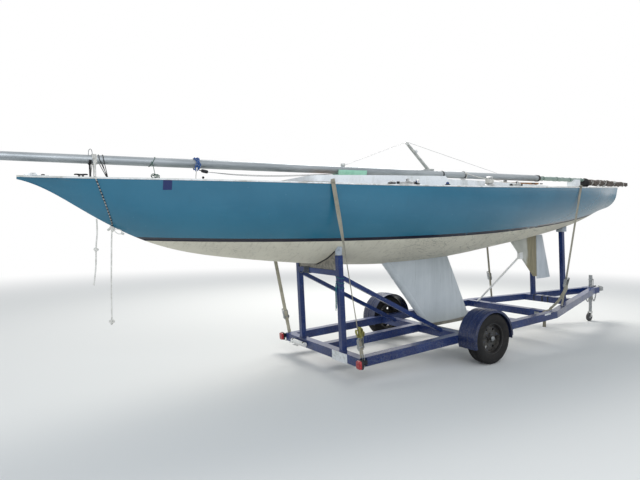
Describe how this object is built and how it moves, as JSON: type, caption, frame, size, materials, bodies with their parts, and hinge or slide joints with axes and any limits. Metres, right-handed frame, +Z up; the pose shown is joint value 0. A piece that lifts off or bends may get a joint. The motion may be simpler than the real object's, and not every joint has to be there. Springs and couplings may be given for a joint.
{
  "type": "racing keelboat on a single-axle road trailer",
  "caption": "One-design racing keelboat with its mast lashed on deck, strapped to a blue single-axle road trailer that stands on its tongue jack.",
  "frame": {"origin": "centre of the bounding box, on the ground", "axes": "+X aft along the boat, which is forward along the trailer; +Y to the boat's starboard; +Z up"},
  "size_m": [11.3492, 2.208, 2.8745],
  "materials": {
    "topside_paint": "gloss",
    "deck_paint": "satin",
    "coaming_paint": "gloss",
    "keel_iron": "matte",
    "skeg_laminate": "matte",
    "rudder_laminate": "matte",
    "mast_alloy": "satin",
    "dark_tape": "matte",
    "green_wrap": "matte",
    "brown_wrap": "matte",
    "green_foam": "matte",
    "black_rubber": "matte",
    "varnished_wood": "satin",
    "grey_plywood": "matte",
    "stainless": "satin",
    "trailer_blue": "gloss",
    "fender_blue": "gloss",
    "galvanised": "matte",
    "white_paint": "satin",
    "pad_foam": "matte",
    "tyre_rubber": "matte",
    "rim_paint": "satin",
    "lamp_red": "gloss",
    "strap_web": "matte",
    "caster_grey": "matte"
  },
  "bodies": {
    "boat_and_trailer": {"hull_shell": "topside_paint", "foredeck": "deck_paint", "side_decks": "deck_paint", "aft_deck": "deck_paint", "cockpit_sole": "deck_paint", "cockpit_front": "coaming_paint", "cockpit_side_port": "coaming_paint", "cockpit_side_starboard": "coaming_paint", "cockpit_aft": "coaming_paint", "mast_partner": "varnished_wood", "traveller_beam": "coaming_paint", "keel": "keel_iron", "skeg": "skeg_laminate", "rudder_tube": "galvanised", "mast": "mast_alloy", "mast_band": "dark_tape", "mast_cover": "green_wrap", "heel_ball": "black_rubber", "heel_bundle": "brown_wrap", "spreaders": "mast_alloy", "bow_crutch": "black_rubber", "mast_pad": "green_foam", "stern_rest": "grey_plywood", "winches": "stainless", "deck_fittings": "stainless", "shrouds": "stainless", "rear_crossbar": "trailer_blue", "side_rail_port": "trailer_blue", "side_rail_starboard": "trailer_blue", "crossbars": "trailer_blue", "centre_rail": "trailer_blue", "keel_bunk": "grey_plywood", "rear_post_bar": "trailer_blue", "bow_chock": "grey_plywood", "rear_posts": "trailer_blue", "post_braces": "trailer_blue", "front_posts": "trailer_blue", "hull_pads": "pad_foam", "stern_pole": "white_paint", "axle_beam": "galvanised", "fender_port": "fender_blue", "fender_starboard": "fender_blue", "tongue_head": "trailer_blue", "jack_sleeve": "galvanised", "jack_crank": "stainless", "coupler": "galvanised", "tail_lights": "lamp_red", "prop_tube": "white_paint", "bow_strap": "strap_web", "stern_strap": "strap_web"},
    "wheel_port": {"tyre_port": "tyre_rubber", "rim_port": "rim_paint"},
    "wheel_starboard": {"tyre_starboard": "tyre_rubber", "rim_starboard": "rim_paint"},
    "rudder": {"rudder_blade": "rudder_laminate", "rudder_stock": "stainless", "tiller": "varnished_wood"},
    "tongue_jack_leg": {"jack_leg": "galvanised"},
    "jack_fork": {"caster_fork": "galvanised"},
    "jack_wheel": {"caster_wheel": "caster_grey"}
  },
  "joints": [
    {"name": "wheel_port_spin", "type": "hinge", "parent": "boat_and_trailer", "child": "wheel_port", "pos_m": [0.2965, -0.99, 0.318], "axis": [0, 1, 0], "continuous": true},
    {"name": "wheel_starboard_spin", "type": "hinge", "parent": "boat_and_trailer", "child": "wheel_starboard", "pos_m": [0.2965, 0.99, 0.318], "axis": [0, 1, 0], "continuous": true},
    {"name": "rudder_swing", "type": "hinge", "parent": "boat_and_trailer", "child": "rudder", "pos_m": [2.7649, 0, 1.6007], "axis": [-0.045, 0, 0.999], "range_deg": [-35, 35]},
    {"name": "jack_travel", "type": "slide", "parent": "boat_and_trailer", "child": "tongue_jack_leg", "axis": [0, 0, 1], "range_m": [-0.16, 0.16]},
    {"name": "jack_swivel", "type": "hinge", "parent": "tongue_jack_leg", "child": "jack_fork", "pos_m": [4.4171, 0, 0.176], "axis": [0, 0, 1], "continuous": true},
    {"name": "jack_wheel_spin", "type": "hinge", "parent": "jack_fork", "child": "jack_wheel", "pos_m": [4.3831, 0, 0.076], "axis": [0, 1, 0], "continuous": true}
  ]
}
